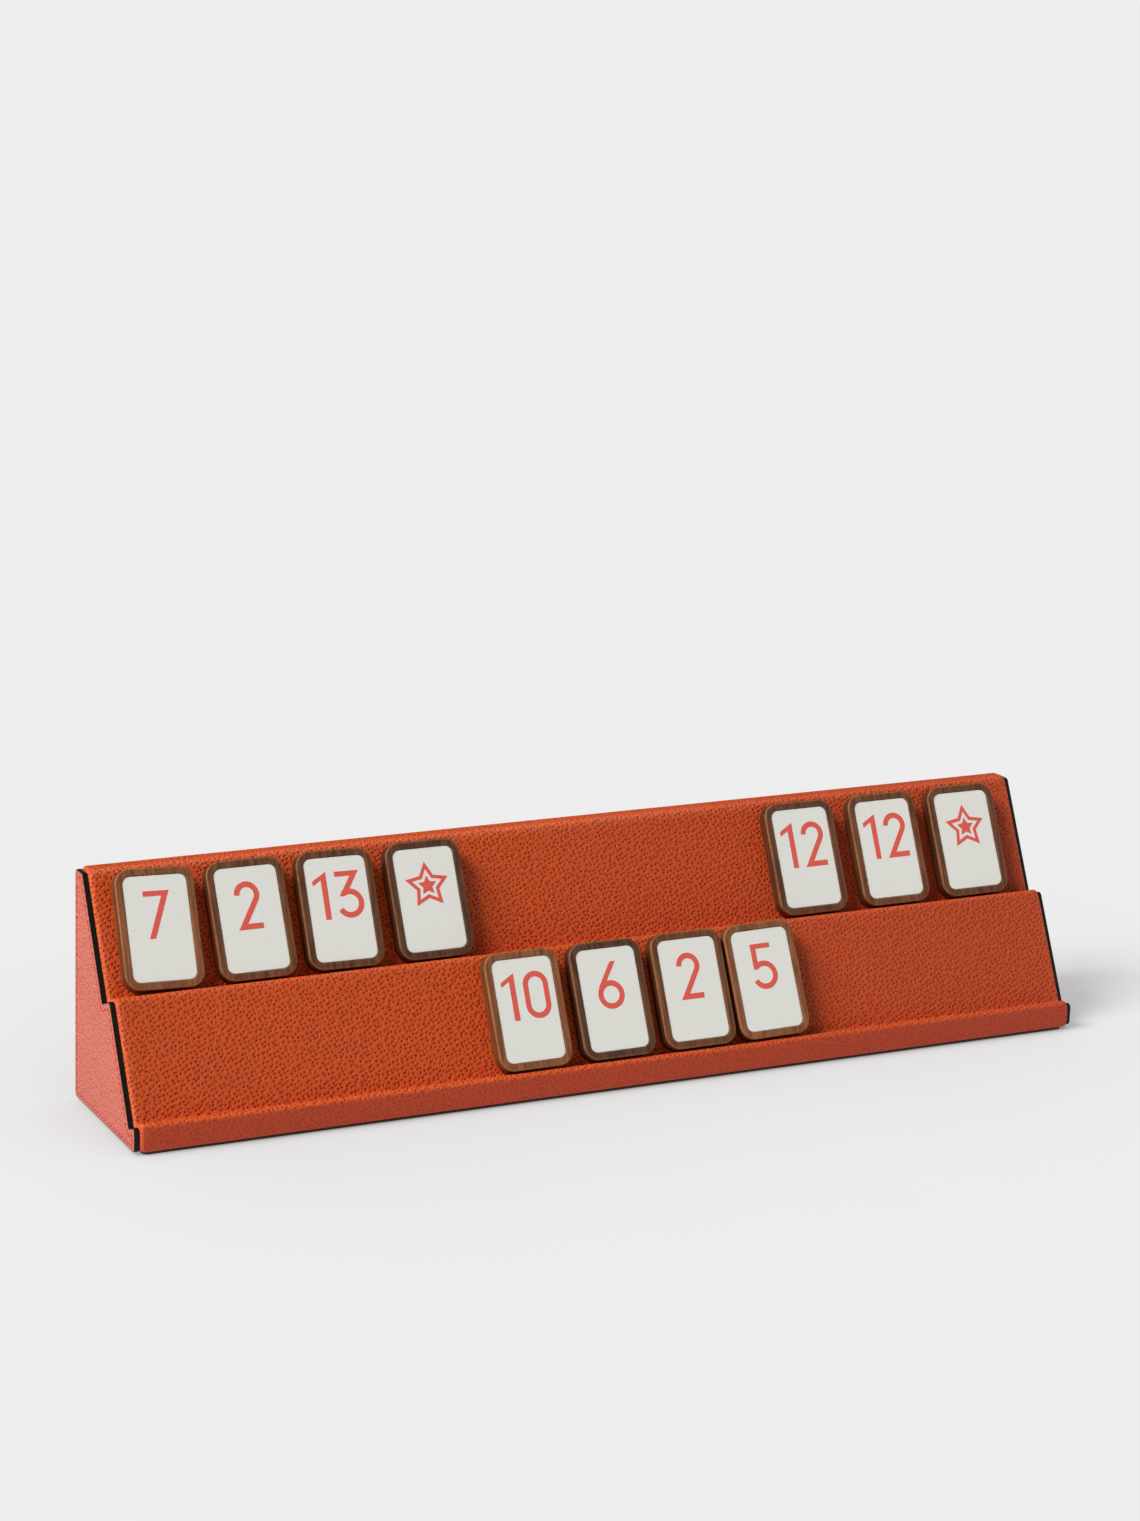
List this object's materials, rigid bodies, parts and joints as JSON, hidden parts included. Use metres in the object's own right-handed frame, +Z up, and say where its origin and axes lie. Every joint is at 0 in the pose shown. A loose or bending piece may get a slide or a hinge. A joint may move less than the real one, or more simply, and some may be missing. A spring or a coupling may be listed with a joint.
{
  "type": "tile rack with number tiles",
  "caption": "Two-tier leather-covered rack with stepped end panels, holding wooden number tiles with pale inlays on its two sloping faces.",
  "frame": {"origin": "centre of the underside, on the surface that the rack stands on", "axes": "+X along the rack to the right as a player sees it, -Y towards the player, +Z up"},
  "size_m": [0.3528, 0.0582, 0.0811],
  "materials": {
    "cover_leather": "fine pebbled grain, semi-matt",
    "end_leather": "fine pebbled grain, stitched, semi-matt",
    "end_backing": "dark painted edge, satin",
    "base_panel": "dark, matt",
    "core_board": "bare",
    "walnut_light": "oiled walnut, satin",
    "walnut_mid": "oiled walnut, satin",
    "walnut_brown": "oiled walnut, satin",
    "walnut_dark": "oiled walnut, satin",
    "tile_inlay": "off-white, very fine grain, printed"
  },
  "bodies": {
    "rack": {"base_panel": "base_panel", "leather_cover": "cover_leather", "base_board": "core_board", "back_board": "core_board", "lip_rail": "core_board", "lower_face_board": "core_board", "ledge_rail": "core_board", "upper_face_board": "core_board", "top_rail": "core_board", "left_end_board": "core_board", "right_end_board": "core_board", "left_end_backing": "end_backing", "right_end_backing": "end_backing", "left_end_leather": "end_leather", "right_end_leather": "end_leather", "rib_1": "core_board", "rib_2": "core_board", "rib_3": "core_board"},
    "upper_tile_1": {"upper_tile_1_wood": "walnut_light", "upper_tile_1_inlay": "tile_inlay"},
    "upper_tile_2": {"upper_tile_2_wood": "walnut_mid", "upper_tile_2_inlay": "tile_inlay"},
    "upper_tile_3": {"upper_tile_3_wood": "walnut_brown", "upper_tile_3_inlay": "tile_inlay"},
    "upper_tile_4": {"upper_tile_4_wood": "walnut_dark", "upper_tile_4_inlay": "tile_inlay"},
    "upper_tile_5": {"upper_tile_5_wood": "walnut_brown", "upper_tile_5_inlay": "tile_inlay"},
    "upper_tile_6": {"upper_tile_6_wood": "walnut_mid", "upper_tile_6_inlay": "tile_inlay"},
    "upper_tile_7": {"upper_tile_7_wood": "walnut_brown", "upper_tile_7_inlay": "tile_inlay"},
    "lower_tile_1": {"lower_tile_1_wood": "walnut_light", "lower_tile_1_inlay": "tile_inlay"},
    "lower_tile_2": {"lower_tile_2_wood": "walnut_dark", "lower_tile_2_inlay": "tile_inlay"},
    "lower_tile_3": {"lower_tile_3_wood": "walnut_mid", "lower_tile_3_inlay": "tile_inlay"},
    "lower_tile_4": {"lower_tile_4_wood": "walnut_light", "lower_tile_4_inlay": "tile_inlay"}
  },
  "joints": [
    {"name": "upper_tile_1_lift", "type": "slide", "parent": "rack", "child": "upper_tile_1", "axis": [0, 0.454, 0.891], "range_m": [0, 0.06]},
    {"name": "upper_tile_2_lift", "type": "slide", "parent": "rack", "child": "upper_tile_2", "axis": [0, 0.454, 0.891], "range_m": [0, 0.06]},
    {"name": "upper_tile_3_lift", "type": "slide", "parent": "rack", "child": "upper_tile_3", "axis": [0, 0.454, 0.891], "range_m": [0, 0.06]},
    {"name": "upper_tile_4_lift", "type": "slide", "parent": "rack", "child": "upper_tile_4", "axis": [0, 0.454, 0.891], "range_m": [0, 0.06]},
    {"name": "upper_tile_5_lift", "type": "slide", "parent": "rack", "child": "upper_tile_5", "axis": [0, 0.454, 0.891], "range_m": [0, 0.06]},
    {"name": "upper_tile_6_lift", "type": "slide", "parent": "rack", "child": "upper_tile_6", "axis": [0, 0.454, 0.891], "range_m": [0, 0.06]},
    {"name": "upper_tile_7_lift", "type": "slide", "parent": "rack", "child": "upper_tile_7", "axis": [0, 0.454, 0.891], "range_m": [0, 0.06]},
    {"name": "lower_tile_1_lift", "type": "slide", "parent": "rack", "child": "lower_tile_1", "axis": [0, 0.454, 0.891], "range_m": [0, 0.1]},
    {"name": "lower_tile_2_lift", "type": "slide", "parent": "rack", "child": "lower_tile_2", "axis": [0, 0.454, 0.891], "range_m": [0, 0.1]},
    {"name": "lower_tile_3_lift", "type": "slide", "parent": "rack", "child": "lower_tile_3", "axis": [0, 0.454, 0.891], "range_m": [0, 0.1]},
    {"name": "lower_tile_4_lift", "type": "slide", "parent": "rack", "child": "lower_tile_4", "axis": [0, 0.454, 0.891], "range_m": [0, 0.1]}
  ]
}
